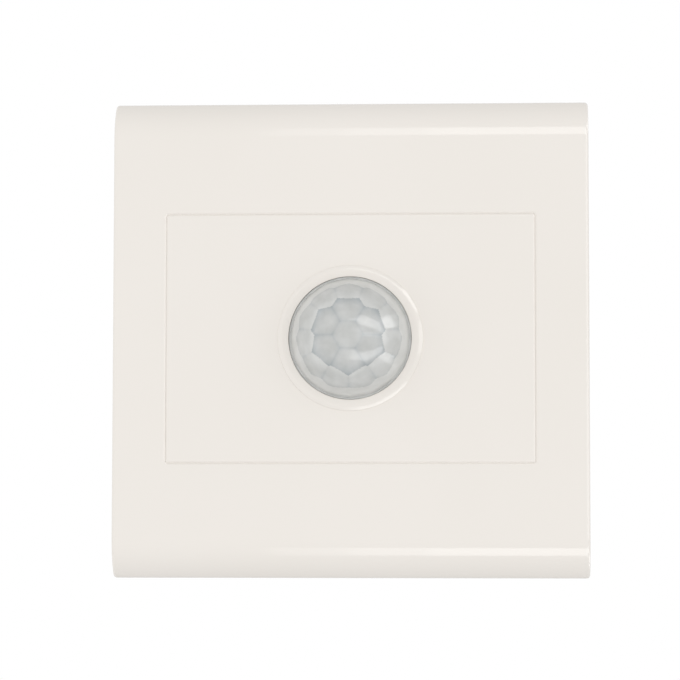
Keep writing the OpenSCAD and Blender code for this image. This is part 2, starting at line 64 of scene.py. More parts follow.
def addNode(tree, kind, settings={}, inputs={}):
    node = tree.nodes.new(kind)
    for name, value in settings.items():
        setattr(node, name, value)
    for name, value in inputs.items():
        if isinstance(value, bpy.types.NodeSocket):
            tree.links.new(value, node.inputs[name])
        else:
            node.inputs[name].default_value = value
    return node


def newMaterial(name):
    material = bpy.data.materials.new(name)
    material.use_nodes = True
    tree = material.node_tree
    shader = tree.nodes["Principled BSDF"]
    place = addNode(tree, "ShaderNodeTexCoord").outputs["Object"]
    return material, tree, shader, place


def finishPiece(name, bm, material, body, slot, *nodes):
    bmesh.ops.transform(bm, matrix=standUp, verts=bm.verts)
    mesh = bpy.data.meshes.new(name)
    bm.to_mesh(mesh)
    bm.free()
    mesh.shade_smooth()
    mesh.set_sharp_from_angle(angle=math.radians(crispAngle))
    mesh.materials.append(material)
    piece = bpy.data.objects.new(name, mesh)
    scene.collection.objects.link(piece)
    weighted = piece.modifiers.new("flat faces", "WEIGHTED_NORMAL")
    weighted.keep_sharp = True
    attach(piece, body)
    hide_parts(*nodes)
    print(name, "made:", len(mesh.polygons), "faces")


def each(parts):
    return list(dict.fromkeys(parts))  # without repeats, and in the same order every run


def drawWire(bm, points):
    tip = bmesh.ops.create_vert(bm, co=points[0])["vert"][0]
    for point in points[1:]:
        tip = growWire(bm, tip, point)
    return tip


def growWire(bm, tip, point):
    tip = bmesh.ops.extrude_vert_indiv(bm, verts=[tip])["verts"][0]
    tip.co = point
    return tip


def turnWire(bm, tip, centre, axis, degrees, steps):
    turned = bmesh.ops.spin(bm, geom=[tip], cent=centre, axis=axis, angle=math.radians(degrees), steps=steps)
    return [v for v in turned["geom_last"] if isinstance(v, bmesh.types.BMVert)][0]


def roundedRing(bm, width, height, corner, z, steps=5):
    place = Matrix.Translation((0, 0, z)) @ Matrix.Diagonal((width, height, 1, 1))
    verts = bmesh.ops.create_grid(bm, x_segments=1, y_segments=1, size=0.5, matrix=place)["verts"]
    rounded = bmesh.ops.bevel(bm, geom=verts, affect="VERTICES", offset=corner, offset_type="OFFSET",
                              segments=steps, profile=0.5, material=-1)
    face = rounded["verts"][0].link_faces[0]
    edges = list(face.edges)
    bmesh.ops.delete(bm, geom=[face], context="FACES_ONLY")
    return edges


def loft(bm, rings):
    lift = Vector((0, 0, 32))  # rings at one height would be joined askew, so each next one is lifted meanwhile
    for one, two in zip(rings, rings[1:]):
        verts = each(v for e in two for v in e.verts)
        bmesh.ops.translate(bm, vec=lift, verts=verts)
        bmesh.ops.bridge_loops(bm, edges=one + two)
        bmesh.ops.translate(bm, vec=-lift, verts=verts)


def flatRim(bm, z, reach=1e9):
    # open edges that lie at height z, within reach of the middle
    return [e for e in bm.edges if not e.is_manifold
            and all(abs(v.co.z - z) < 1e-3 and v.co.xy.length < reach for v in e.verts)]


def plainBox(bm, low, high):
    size = Vector(high) - Vector(low)
    place = Matrix.Translation((Vector(low) + Vector(high)) / 2) @ Matrix.Diagonal((*size, 1))
    verts = bmesh.ops.create_cube(bm, size=1, matrix=place)["verts"]
    return each(e for v in verts for e in v.link_edges)


def softBox(bm, low, high, edge):
    edges = plainBox(bm, low, high)
    bmesh.ops.bevel(bm, geom=edges, affect="EDGES", offset=edge, segments=2, profile=0.5, material=-1)


def facesWithEdges(faces):
    return each(part for f in faces for part in [f, *f.edges, *f.verts])


# Moulded ABS from a polished mould: warm white and even, with reflections that stay sharp but wander a little
plateFinish = {
    "colour": "#EFEAE4", "deeper": "#ECE7E0", "tintMm": 30, "roughness": 0.08,
    "waveMm": 14, "waveHeightMm": 0.2, "waveStrength": 0.05, "ior": 1.5,
}
glossyAbs, tree, shader, place = newMaterial("glossy_abs")
tint = addNode(tree, "ShaderNodeTexNoise", {}, {"Vector": place, "Scale": perMm(plateFinish["tintMm"]), "Detail": 2})
mix = addNode(tree, "ShaderNodeMix", {"data_type": "RGBA"}, {
    "Factor": tint.outputs["Fac"], "A": linear(plateFinish["colour"]), "B": linear(plateFinish["deeper"])})
wave = addNode(tree, "ShaderNodeTexNoise", {}, {"Vector": place, "Scale": perMm(plateFinish["waveMm"]), "Detail": 1})
swell = addNode(tree, "ShaderNodeBump", {}, {
    "Height": wave.outputs["Fac"], "Strength": plateFinish["waveStrength"],
    "Distance": plateFinish["waveHeightMm"] / 1000})
tree.links.new(mix.outputs["Result"], shader.inputs["Base Color"])
tree.links.new(swell.outputs["Normal"], shader.inputs["Normal"])
shader.inputs["Roughness"].default_value = plateFinish["roughness"]
shader.inputs["IOR"].default_value = plateFinish["ior"]

# Milky polyethylene: soft cool grey, a little cloudy and lit from within, with painted shade that darkens the colour
# in the creases where facets meet and painted light along the inner edge of the second ring
lensFinish = {
    # rim is the plain tone of the rim, collar and flange, and also the painted light along ring 2's inner border; the
    # darkest colour is painted shade for where facets meet
    "rim": "#D3D4D2", "facet": "#C9CAC8", "painted_crease_shade": "#A2A9AD", "facetShade": 0.25, "roughness": 0.11,
    "cloudMm": 2.4, "cloud": 0.25, "glow": 0.25, "glowMm": 0.8, "ior": 1.53,
}
milkyPolyethylene, tree, shader, place = newMaterial("milky_polyethylene")
# the attribute read here is painted shade and light: towards its dark end the colour is painted darker in the creases,
# below the plain facet value it is painted lighter
painted_crease_shade = addNode(tree, "ShaderNodeAttribute", {"attribute_name": "painted_crease_shade"})
ramp = addNode(tree, "ShaderNodeValToRGB", {}, {"Fac": painted_crease_shade.outputs["Fac"]})
ramp.color_ramp.elements[0].color = linear(lensFinish["rim"])
ramp.color_ramp.elements[1].color = linear(lensFinish["painted_crease_shade"])
ramp.color_ramp.elements.new(lensFinish["facetShade"]).color = linear(lensFinish["facet"])
milk = addNode(tree, "ShaderNodeTexNoise", {}, {"Vector": place, "Scale": perMm(lensFinish["cloudMm"]), "Detail": 2})
cloudy = addNode(tree, "ShaderNodeMix", {"data_type": "RGBA", "blend_type": "OVERLAY"}, {
    "Factor": lensFinish["cloud"], "A": ramp.outputs["Color"], "B": milk.outputs["Fac"]})
tree.links.new(cloudy.outputs["Result"], shader.inputs["Base Color"])
shader.inputs["Roughness"].default_value = lensFinish["roughness"]
shader.inputs["IOR"].default_value = lensFinish["ior"]
shader.inputs["Subsurface Weight"].default_value = lensFinish["glow"]
shader.inputs["Subsurface Radius"].default_value = (1, 1, 1)
shader.inputs["Subsurface Scale"].default_value = lensFinish["glowMm"] / 1000
print("front materials ready")


# Section of the groove between plate and panel, as shares of its edge width: a soft lip and then a straight slope
grooveLip = ((0.75, 0.08), (0.5, 0.28), (0, 0.68))

# Front plate: rolled top and bottom edges, nearly square sides, a window with a rebate and lip behind it
plate = {
    "half": 43, "face": 9, "rear": 0.3, "wall": 1.8, "sideWall": 1.65, "draft": 0.15,
    "rollRadius": 8.8, "rollWidth": 7.15, "creaseRadius": 1.86, "sideRound": 0.65, "innerRound": 0.3,
    "window": (66.4, 44.8), "corner": 0.45, "edge": 0.36,
    "rebate": 0.8, "rebateZ": 8.3, "lip": 1.2, "lipZ": 5.8,
    "notch": (-39, -34), "notchTop": 1.9, "rollSteps": 24, "edgeSteps": 6,
    "ribX": 20, "ribY": (24.3, 40.5), "ribZ": (5.8, 7.3), "ribHalf": 0.5,
    "snapY": 20, "snapZ": (1.2, 2.2), "snapHalf": (0.25, 4.5), "ribRound": 0.12,
}


def plateSkin(halfX, halfY, top, radius, width, draft, creaseRadius, sideRound, window, corner):
    bm = bmesh.new()
    low = plate["rear"]
    tip = drawWire(bm, [(-halfX, 0, top), (-halfX, width - halfY, top)])
    roll = math.degrees(math.asin((width - creaseRadius) / (radius - creaseRadius)))
    tip = turnWire(bm, tip, (-halfX, width - halfY, top - radius), (1, 0, 0), roll, plate["rollSteps"])
    if creaseRadius:
        centreZ = top - radius + (radius - creaseRadius) * math.cos(math.radians(roll))
        tip = turnWire(bm, tip, (-halfX, creaseRadius - halfY, centreZ), (1, 0, 0), 90 - roll, plate["edgeSteps"])
    growWire(bm, tip, (-halfX, -halfY, low))
    bmesh.ops.mirror(bm, geom=bm.verts[:] + bm.edges[:], matrix=Matrix.Identity(4), merge_dist=hair, axis="Y")
    swept = bmesh.ops.extrude_edge_only(bm, edges=bm.edges[:])["geom"]
    bmesh.ops.translate(bm, vec=(2 * halfX, 0, 0), verts=[v for v in swept if isinstance(v, bmesh.types.BMVert)])
    for side in (-halfX, halfX):
        end = [v for v in bm.verts if abs(v.co.x - side) < hair]
        feet = [v for v in end if abs(v.co.z - low) < hair]
        bm.edges.new(feet)
        rim = [e for e in bm.edges if all(v in end for v in e.verts)]
        bmesh.ops.edgeloop_fill(bm, edges=rim)
    bmesh.ops.recalc_face_normals(bm, faces=bm.faces)
    for v in bm.verts:
        v.co.x *= 1 - draft / halfX * (v.co.z - low) / (top - low)
    # the pry notch in the lower wall
    notchTop, middle = plate["notchTop"], sum(plate["notch"]) / 2
    for x in plate["notch"]:
        wallFaces = [f for f in bm.faces if all(abs(v.co.y + halfY) < hair for v in f.verts)]
        bmesh.ops.bisect_plane(bm, geom=facesWithEdges(wallFaces), dist=1e-5, plane_co=(x, 0, 0), plane_no=(1, 0, 0))
    mouth = [f for f in bm.faces if all(abs(v.co.y + halfY) < hair for v in f.verts)
             and abs(f.calc_center_median().x - middle) < 1]
    bmesh.ops.bisect_plane(bm, geom=facesWithEdges(mouth), dist=1e-5, plane_co=(0, 0, notchTop), plane_no=(0, 0, 1))
    mouth = [f for f in bm.faces if all(abs(v.co.y + halfY) < hair and v.co.z < notchTop + hair for v in f.verts)]
    bmesh.ops.delete(bm, geom=mouth, context="FACES")
    # the left and right walls' edges
    ends = [f for f in bm.faces if abs(f.normal.x) > 0.99 or len(f.verts) > 40]
    edges = each(e for f in ends for e in f.edges if not e.is_boundary)
    bmesh.ops.bevel(bm, geom=edges, affect="EDGES", offset=sideRound, offset_type="OFFSET",
                    segments=plate["edgeSteps"], profile=0.5, material=-1)
    # the face, with its window
    front = [f for f in bm.faces if all(abs(v.co.z - top) < hair for v in f.verts)]
    bmesh.ops.delete(bm, geom=front, context="FACES")
    outline = flatRim(bm, top)
    hole = roundedRing(bm, *window, corner, top)
    bmesh.ops.triangle_fill(bm, use_beauty=True, edges=outline + hole, normal=(0, 0, 1))
    mesh = bpy.data.meshes.new("skin")
    bm.to_mesh(mesh)
    bm.free()
    return mesh


def makePlate():
    p = plate
    edge, wall, lipGrow = p["edge"], p["wall"], p["rebate"] + p["lip"]
    grown = [w + 2 * edge for w in p["window"]]
    lipSize = [w + 2 * lipGrow for w in p["window"]]
    innerX = p["half"] - p["sideWall"]
    outer = plateSkin(p["half"], p["half"], p["face"], p["rollRadius"], p["rollWidth"], p["draft"],
                      p["creaseRadius"], p["sideRound"], grown, p["corner"] + edge)
    inner = plateSkin(innerX, p["half"] - wall, p["face"] - wall, p["rollRadius"] - wall, p["rollWidth"] - wall,
                      0, 0, p["innerRound"], lipSize, p["corner"] + lipGrow)
    bm = bmesh.new()
    for skin in (outer, inner):
        bm.from_mesh(skin)
        bpy.data.meshes.remove(skin)
    # the rear rims of both skins, which run up into the notch
    feet = [e for e in bm.edges if e.is_boundary and all(v.co.z < p["notchTop"] + 0.1 for v in e.verts)]
    bmesh.ops.bridge_loops(bm, edges=feet)
    rings = [flatRim(bm, p["face"])]
    shape = [(edge * inset, p["face"] - edge * drop) for inset, drop in grooveLip]
    shape += [(0, p["rebateZ"]), (p["rebate"], p["rebateZ"]), (p["rebate"], p["lipZ"]), (lipGrow, p["lipZ"])]
    for grow, z in shape:
        rings.append(roundedRing(bm, *[w + 2 * grow for w in p["window"]], p["corner"] + grow, z))
    rings.append(flatRim(bm, p["face"] - wall))
    loft(bm, rings)
    # stiffening ribs above and below the window, and the ribs that snap over the base
    ribLow, ribHigh = p["ribY"]
    thick, long = p["snapHalf"]
    for x in (-p["ribX"], p["ribX"]):
        for low, high in ((-ribHigh, -ribLow), (ribLow, ribHigh)):
            softBox(bm, (x - p["ribHalf"], low, p["ribZ"][0]), (x + p["ribHalf"], high, p["ribZ"][1]), p["ribRound"])
    for x in (-innerX, innerX):
        for y in (-p["snapY"], p["snapY"]):
            softBox(bm, (x - thick, y - long, p["snapZ"][0]), (x + thick, y + long, p["snapZ"][1]), p["ribRound"])
    bmesh.ops.remove_doubles(bm, verts=bm.verts, dist=1e-5)
    bmesh.ops.recalc_face_normals(bm, faces=bm.faces)
    print("plate open edges:", sum(not e.is_manifold for e in bm.edges))
    finishPiece("front_plate", bm, glossyAbs, "frame", "white_plastic", "front_frame")


makePlate()

# Centre panel: its edge is rounded, a shoulder sits behind the plate, and a raised ring stands round the lens
panel = {
    "size": (66.38, 44.78), "corner": 0.44, "edge": 0.36, "face": 9, "back": 7.2,
    "shoulder": 0.75, "shoulderZ": 8.2, "skirt": (63.8, 42.2), "skirtWall": 1.4, "skirtZ": 4.4, "skirtCorner": 0.6,
    "boreR": 11.05, "boreRound": 0.12, "crestR": 12.15, "crestZ": 9.45,
    "ringCurve": 1.3, "ringSlope": 24, "ringStep": 0.17, "stepLean": 0.02,
    "flangeR": 12.85, "bossR": 14.25, "bossZ": 5.5, "steps": 192, "ringRows": 12, "boreRows": 6,
    "legX": (27.8, 29.2), "legY": (9, 15), "legZ": (-3.6, 8.1), "legRound": 0.15,
    "barbX": (28.5, 30.3), "barbZ": (-3.2, -1.7), "barbSlope": 0.8,
}


def makePanel():
    p = panel
    bm = bmesh.new()
    # the ring's section: out of the face, over a flat crest, round into the bore, and down to the boss behind
    slope, curveZ = math.radians(p["ringSlope"]), p["crestZ"] - p["ringCurve"]
    topR, topZ = p["crestR"] + p["ringCurve"] * math.sin(slope), curveZ + p["ringCurve"] * math.cos(slope)
    stepZ = p["face"] + p["ringStep"]
    footR = topR + (topZ - stepZ) / math.tan(slope)
    tip = drawWire(bm, [(footR + p["stepLean"], 0, p["face"]), (footR, 0, stepZ), (topR, 0, topZ)])
    tip = turnWire(bm, tip, (p["crestR"], 0, curveZ), (0, -1, 0), p["ringSlope"], p["ringRows"])
    turnR = p["boreR"] + p["boreRound"]
    tip = growWire(bm, tip, (turnR, 0, p["crestZ"]))
    tip = turnWire(bm, tip, (turnR, 0, p["crestZ"] - p["boreRound"]), (0, -1, 0), 90, p["boreRows"])
    for r, z in ((p["boreR"], p["back"]), (p["flangeR"], p["back"]), (p["flangeR"], p["bossZ"]),
                 (p["bossR"], p["bossZ"]), (p["bossR"], p["back"])):
        tip = growWire(bm, tip, (r, 0, z))
    bmesh.ops.spin(bm, geom=bm.verts[:] + bm.edges[:], cent=(0, 0, 0), axis=(0, 0, 1),
                   angle=math.tau, steps=p["steps"], use_merge=True)
    bmesh.ops.remove_doubles(bm, verts=bm.verts, dist=1e-5)
    edge, (width, height) = p["edge"], p["size"]
    (skirtW, skirtH), bend = p["skirt"], p["skirtCorner"]
    s, wall = p["shoulder"], p["skirtWall"]
    shape = []
    for inset, drop in ((1, 0), *grooveLip):
        grow = 2 * edge * inset
        shape.append((width - grow, height - grow, p["corner"] - edge * inset, p["face"] - edge * drop))
    shape += [
        (width, height, p["corner"], p["shoulderZ"]),
        (width + 2 * s, height + 2 * s, p["corner"] + s, p["shoulderZ"]),
        (width + 2 * s, height + 2 * s, p["corner"] + s, p["back"]),
        (skirtW, skirtH, bend, p["back"]),
        (skirtW, skirtH, bend, p["skirtZ"]),
        (skirtW - 2 * wall, skirtH - 2 * wall, bend, p["skirtZ"]),
        (skirtW - 2 * wall, skirtH - 2 * wall, bend, p["back"]),
    ]
    ringFoot, bossFoot = flatRim(bm, p["face"], p["bossR"] + 1), flatRim(bm, p["back"], p["bossR"] + 1)
    rings = [roundedRing(bm, *values) for values in shape]
    loft(bm, rings)
    bmesh.ops.triangle_fill(bm, use_beauty=True, edges=rings[0] + ringFoot, normal=(0, 0, 1))
    bmesh.ops.triangle_fill(bm, use_beauty=True, edges=rings[-1] + bossFoot, normal=(0, 0, -1))
    # the four snap legs, each with a sloped barb
    before = set(bm.faces)
    softBox(bm, *zip(p["legX"], p["legY"], p["legZ"]), p["legRound"])
    barb = plainBox(bm, *zip(p["barbX"], p["legY"], p["barbZ"]))
    tip = [e for e in barb
           if all(v.co.x > p["barbX"][1] - hair and v.co.z < p["barbZ"][0] + hair for v in e.verts)]
    bmesh.ops.bevel(bm, geom=tip, affect="EDGES", offset=p["barbSlope"], segments=1, profile=0.5, material=-1)
    for axis in ("X", "Y"):
        legs = facesWithEdges([f for f in bm.faces if f not in before])
        bmesh.ops.mirror(bm, geom=legs, matrix=Matrix.Identity(4), merge_dist=1e-6, axis=axis)
    bmesh.ops.remove_doubles(bm, verts=bm.verts, dist=1e-5)
    bmesh.ops.recalc_face_normals(bm, faces=bm.faces)
    print("panel open edges:", sum(not e.is_manifold for e in bm.edges))
    finishPiece("panel_with_ring", bm, glossyAbs, "base", "white_plastic", "centre_panel")


makePanel()

# Lens: a spun dome with collar and flange, cut into a crown facet and rings of 6, 11 and 16, the last one faint
lens = {
    "radius": 10.75, "inner": 10.0, "centreZ": 8, "collarR": 11.0, "collarZ": 9.1, "neckZ": 7.2,
    "flangeR": 12.75, "flangeZ": 6.4, "rows": 96, "innerRows": 24, "steps": 336,
    "sharp": 40,  # a higher value makes the edges between facets crisper
    # tilt, count and first place round of each ring's facets, their distance from the centre and their own curve
    "rings": ((0, 1, 90, 10.25, 20), (26, 6, 90, 10.297, 16), (45, 11, 90, 10.367, 20), (66, 16, 101.25, 10.58, 15)),
    # how much painted shade a facet gets towards its neighbour, or how much painted light if below 0, and how fast, by
    # own and other ring
    "paintedShade": {(0, 1): (0.27, 0.06), (1, 0): (0.27, 0.06), (1, 1): (0.4, 0.06), (1, 2): (0.5, 0.15),
              # (2, 1) below 0 is painted light: ring 2 is painted lighter along its inner border
              (2, 1): (-0.55, 0.13), (2, 2): (0.38, 0.065), (2, 3): (0.22, 0.06)},
}


def makeLens():
    p = lens
    bm = bmesh.new()
    tip = drawWire(bm, [(0, 0, p["centreZ"] + p["radius"])])
    quarter = math.degrees(math.acos((p["collarZ"] - p["centreZ"]) / p["radius"]))
    tip = turnWire(bm, tip, (0, 0, p["centreZ"]), (0, 1, 0), quarter, p["rows"])
    for r, z in ((p["collarR"], p["collarZ"]), (p["collarR"], p["neckZ"]), (p["flangeR"], p["neckZ"]),
                 (p["flangeR"], p["flangeZ"]), (p["inner"], p["flangeZ"]), (p["inner"], p["centreZ"])):
        tip = growWire(bm, tip, (r, 0, z))
    turnWire(bm, tip, (0, 0, p["centreZ"]), (0, -1, 0), 90, p["innerRows"])
    bmesh.ops.spin(bm, geom=bm.verts[:] + bm.edges[:], cent=(0, 0, 0), axis=(0, 0, 1),
                   angle=math.tau, steps=p["steps"], use_merge=True)
    bmesh.ops.remove_doubles(bm, verts=bm.verts, dist=hair)
    bmesh.ops.recalc_face_normals(bm, faces=bm.faces)
    facets = []
    for ring, (tilt, count, start, distance, curve) in enumerate(p["rings"]):
        for k in range(count):
            around, down = math.radians(start + 360 * k / count), math.radians(tilt)
            d = Vector((math.sin(down) * math.cos(around), math.sin(down) * math.sin(around), math.cos(down)))
            facets.append((ring, d, distance - curve, curve))
    # per vertex painted shade and light for the lens colour
    paintedShadeLayer = bm.verts.layers.float.new("painted_crease_shade")
    centre = Vector((0, 0, p["centreZ"]))
    for v in bm.verts:
        out = v.co - centre
        if out.z < 0.5 or abs(out.length - p["radius"]) > 1e-3:
            continue  # not on the dome's outer face
        out.normalize()
        reach = []
        for ring, d, away, curve in facets:
            along = out.dot(d)
            if along > 0.6:  # a facet that looks this way
                reach.append((away * along + math.sqrt(curve ** 2 - away ** 2 * (1 - along ** 2)), ring))
        reach.sort()
        least, own = reach[0]
        blend = sum(math.exp(p["sharp"] * (least - r)) for r, ring in reach)
        v.co = centre + out * (least - math.log(blend) / p["sharp"])
        # painted shade: the colour is darkened where facets meet, most of all where the inner ring ends, and ring 2 is
        # painted lighter along that border; the rim is plain
        if own < 3:
            dark = 0
            for r, other in reach[1:3]:
                weight, width = p["paintedShade"].get((own, other), (0, 1))
                dark += weight * math.exp((least - r) / width)
            plain = lensFinish["facetShade"]
            v[paintedShadeLayer] = min(1, max(0, plain + (1 - plain) * dark))
    print("lens open edges:", sum(not e.is_manifold for e in bm.edges))
    finishPiece("lens_dome", bm, milkyPolyethylene, "base", "lens_plastic", "fresnel_lens")


makeLens()

# What is behind the plate keeps its CAD shapes. Its plastics differ in colour, in the grain of their moulds,
# and in how far that grain stands up; grain of 0.1 mm or less is drawn coarser than it is, so that it shows
plastics = {
    # ABS from a spark-eroded mould: off-white, even and dull, with a fine sandy grain
    "base_plastic": {"name": "spark_eroded_abs", "colour": "#DBD9D1", "deeper": "#D2CFC5", "roughness": 0.55,
                     "grainMm": 0.35, "relief": 0.35, "cloudMm": 12},
    # moulded nylon: creamy and a little waxy, with soft clouds from the melt
    "knob_plastic": {"name": "moulded_nylon", "colour": "#E8E2D4", "deeper": "#DAD2BF", "roughness": 0.38,
                     "grainMm": 0.6, "relief": 0.15, "cloudMm": 2},
    # glass-filled PBT: mid grey, matt, with pale flecks of fibre
    "grey_plastic": {"name": "glass_filled_pbt", "colour": "#85898C", "deeper": "#9A9D9F", "roughness": 0.5,
                     "grainMm": 0.3, "relief": 0.3, "cloudMm": 0.8},
    # moulded epoxy: charcoal, dull, with a fine even grain
    "black_plastic": {"name": "moulded_epoxy", "colour": "#19191C", "deeper": "#26262A", "roughness": 0.48,
                      "grainMm": 0.25, "relief": 0.25, "cloudMm": 3},
    # unfilled PBT: deep blue and half glossy, with long faint flow marks
    "relay_blue": {"name": "blue_pbt", "colour": "#1F3A76", "deeper": "#29498B", "roughness": 0.33,
                   "grainMm": 0.5, "relief": 0.12, "cloudMm": 5},
    # dipped epoxy over a film winding: mustard and glossy, with a slow uneven skin
    "capacitor_yellow": {"name": "dipped_epoxy", "colour": "#D1B64A", "deeper": "#C2A238", "roughness": 0.24,
                         "grainMm": 2.5, "relief": 0.3, "cloudMm": 3},
    # phenolic resin: brick brown, half matt, with dark specks
    "fuse_brown": {"name": "phenolic_resin", "colour": "#5B241C", "deeper": "#471811", "roughness": 0.4,
                   "grainMm": 0.4, "relief": 0.2, "cloudMm": 0.6},
}
mould = {"polishSpread": 0.08, "grainHeightMm": 0.06, "edgeMm": 0.18}  # moulded edges aren't sharp
finishes = {}
for slot, p in plastics.items():
    finishes[slot], tree, shader, place = newMaterial(p["name"])
    cloud = addNode(tree, "ShaderNodeTexNoise", {}, {"Vector": place, "Scale": perMm(p["cloudMm"]), "Detail": 2})
    mix = addNode(tree, "ShaderNodeMix", {"data_type": "RGBA"}, {
        "Factor": cloud.outputs["Fac"], "A": linear(p["colour"]), "B": linear(p["deeper"])})
    grain = addNode(tree, "ShaderNodeTexNoise", {}, {"Vector": place, "Scale": perMm(p["grainMm"]), "Detail": 3})
    polish = addNode(tree, "ShaderNodeMapRange", {}, {
        "Value": grain.outputs["Fac"],
        "To Min": p["roughness"] - mould["polishSpread"], "To Max": p["roughness"] + mould["polishSpread"]})
    softEdge = addNode(tree, "ShaderNodeBevel", {"samples": 6}, {"Radius": mould["edgeMm"] / 1000})
    bump = addNode(tree, "ShaderNodeBump", {}, {
        "Height": grain.outputs["Fac"], "Strength": p["relief"], "Distance": mould["grainHeightMm"] / 1000,
        "Normal": softEdge.outputs[0]})
    tree.links.new(mix.outputs["Result"], shader.inputs["Base Color"])
    tree.links.new(polish.outputs["Result"], shader.inputs["Roughness"])
    tree.links.new(bump.outputs["Normal"], shader.inputs["Normal"])

# Solder mask over copper on FR-4: glossy green, lighter where copper runs under it, with a faint weave below
boardFinish = {
    "bare": "#124A2A", "copper": "#1E6B3D", "deeper": "#1A6137", "roughness": 0.22,
    "trackMm": (4.2, 1.7), "trackShift": 0.37, "gapMm": 0.5, "gapSoft": 0.3, "gapDepth": 0.8,
    "weaveMm": 0.7, "weaveBend": 0.4, "relief": 0.3, "reliefMm": 0.04,
}
finishes["board_green"], tree, shader, place = newMaterial("solder_mask")
along, across = boardFinish["trackMm"]
flat = addNode(tree, "ShaderNodeMapping", {}, {"Vector": place, "Rotation": (math.radians(-90), 0, 0)})
tracks = addNode(tree, "ShaderNodeTexBrick", {"offset": boardFinish["trackShift"]}, {
    "Vector": flat.outputs[0], "Color1": linear(boardFinish["copper"]), "Color2": linear(boardFinish["deeper"]),
    "Mortar": linear(boardFinish["bare"]), "Scale": 1, "Brick Width": along / 1000, "Row Height": across / 1000,
    "Mortar Size": boardFinish["gapMm"] / 1000, "Mortar Smooth": boardFinish["gapSoft"]})
weave = addNode(tree, "ShaderNodeTexWave", {}, {
    "Vector": flat.outputs[0], "Scale": perMm(boardFinish["weaveMm"]) * waveUnit,
    "Distortion": boardFinish["weaveBend"]})
thickness = addNode(tree, "ShaderNodeMath", {"operation": "MULTIPLY_ADD"}, {
    0: tracks.outputs["Fac"], 1: -boardFinish["gapDepth"], 2: weave.outputs["Fac"]})
bump = addNode(tree, "ShaderNodeBump", {}, {
    "Height": thickness.outputs[0], "Strength": boardFinish["relief"], "Distance": boardFinish["reliefMm"] / 1000})
tree.links.new(tracks.outputs["Color"], shader.inputs["Base Color"])
tree.links.new(bump.outputs["Normal"], shader.inputs["Normal"])
shader.inputs["Roughness"].default_value = boardFinish["roughness"]

# Cadmium sulphide cell under clear resin: a brown-red track folded to and fro on pale ceramic
cellFinish = {
    "track": "#8E3B22", "ceramic": "#D9B18C", "pitchMm": 0.9, "bend": 1.2, "trackEdge": (0.45, 0.55),
    "roughness": 0.25, "coat": 0.6, "coatRoughness": 0.05,
}
finishes["sensor_film"], tree, shader, place = newMaterial("cadmium_sulphide")
folds = addNode(tree, "ShaderNodeTexWave", {"bands_direction": "Z"}, {
    "Vector": place, "Scale": perMm(cellFinish["pitchMm"]) * waveUnit, "Distortion": cellFinish["bend"], "Detail": 1})
ramp = addNode(tree, "ShaderNodeValToRGB", {}, {"Fac": folds.outputs["Fac"]})
ramp.color_ramp.elements[0].position, ramp.color_ramp.elements[1].position = cellFinish["trackEdge"]
ramp.color_ramp.elements[0].color = linear(cellFinish["ceramic"])
ramp.color_ramp.elements[1].color = linear(cellFinish["track"])
tree.links.new(ramp.outputs["Color"], shader.inputs["Base Color"])
shader.inputs["Roughness"].default_value = cellFinish["roughness"]
shader.inputs["Coat Weight"].default_value = cellFinish["coat"]
shader.inputs["Coat Roughness"].default_value = cellFinish["coatRoughness"]

# Bare metals: bright zinc plating is bluish grey and cloudy, stamped brass is warm with tarnish and die marks
metals = {
    "steel": {"name": "zinc_plated_steel", "colour": "#C3C5C9", "deeper": "#A9ACB1", "roughness": 0.27,
              "cloudMm": 1.5, "markMm": 0.3},
    "brass": {"name": "stamped_brass", "colour": "#CFA957", "deeper": "#A8813D", "roughness": 0.3,
              "cloudMm": 2.2, "markMm": 0.3},
}
wear = {"brighter": 0.07, "duller": 0.1, "marks": 0.12, "markHeightMm": 0.04, "edgeMm": 0.1}
for slot, p in metals.items():
    finishes[slot], tree, shader, place = newMaterial(p["name"])
    cloud = addNode(tree, "ShaderNodeTexNoise", {}, {"Vector": place, "Scale": perMm(p["cloudMm"]), "Detail": 4})
    mix = addNode(tree, "ShaderNodeMix", {"data_type": "RGBA"}, {
        "Factor": cloud.outputs["Fac"], "A": linear(p["colour"]), "B": linear(p["deeper"])})
    polish = addNode(tree, "ShaderNodeMapRange", {}, {
        "Value": cloud.outputs["Fac"],
        "To Min": p["roughness"] - wear["brighter"], "To Max": p["roughness"] + wear["duller"]})
    marks = addNode(tree, "ShaderNodeTexNoise", {}, {"Vector": place, "Scale": perMm(p["markMm"]), "Detail": 2})
    softEdge = addNode(tree, "ShaderNodeBevel", {"samples": 6}, {"Radius": wear["edgeMm"] / 1000})
    bump = addNode(tree, "ShaderNodeBump", {}, {
        "Height": marks.outputs["Fac"], "Strength": wear["marks"], "Distance": wear["markHeightMm"] / 1000,
        "Normal": softEdge.outputs[0]})
    tree.links.new(mix.outputs["Result"], shader.inputs["Base Color"])
    tree.links.new(polish.outputs["Result"], shader.inputs["Roughness"])
    tree.links.new(bump.outputs["Normal"], shader.inputs["Normal"])
    shader.inputs["Metallic"].default_value = 1

for part in frame["record"]["subparts"]:
    if part["material_slot"] in finishes:
        for holder in frame["nodes"][part["node"]].material_slots:
            holder.material = finishes[part["material_slot"]]
print("rear materials set:", len(finishes))

# Camera at the photograph's viewing angle
view = {"place": (23.028, -35.057, 500), "turn": (4.0416, 2.8909, 0.0648), "lens": 145.38, "sensor": 36}
camera = bpy.data.objects.new("camera", bpy.data.cameras.new("camera"))
scene.collection.objects.link(camera)
turn = Matrix.Identity(4)
for axis, degrees in zip("ZYX", reversed(view["turn"])):
    turn = turn @ Matrix.Rotation(math.radians(degrees), 4, axis)
camera.matrix_world = upright @ Matrix.Translation(Vector(view["place"]) * 0.001) @ turn
camera.data.lens = view["lens"]
camera.data.sensor_width = view["sensor"]
camera.data.clip_start = 0.01
scene.camera = camera

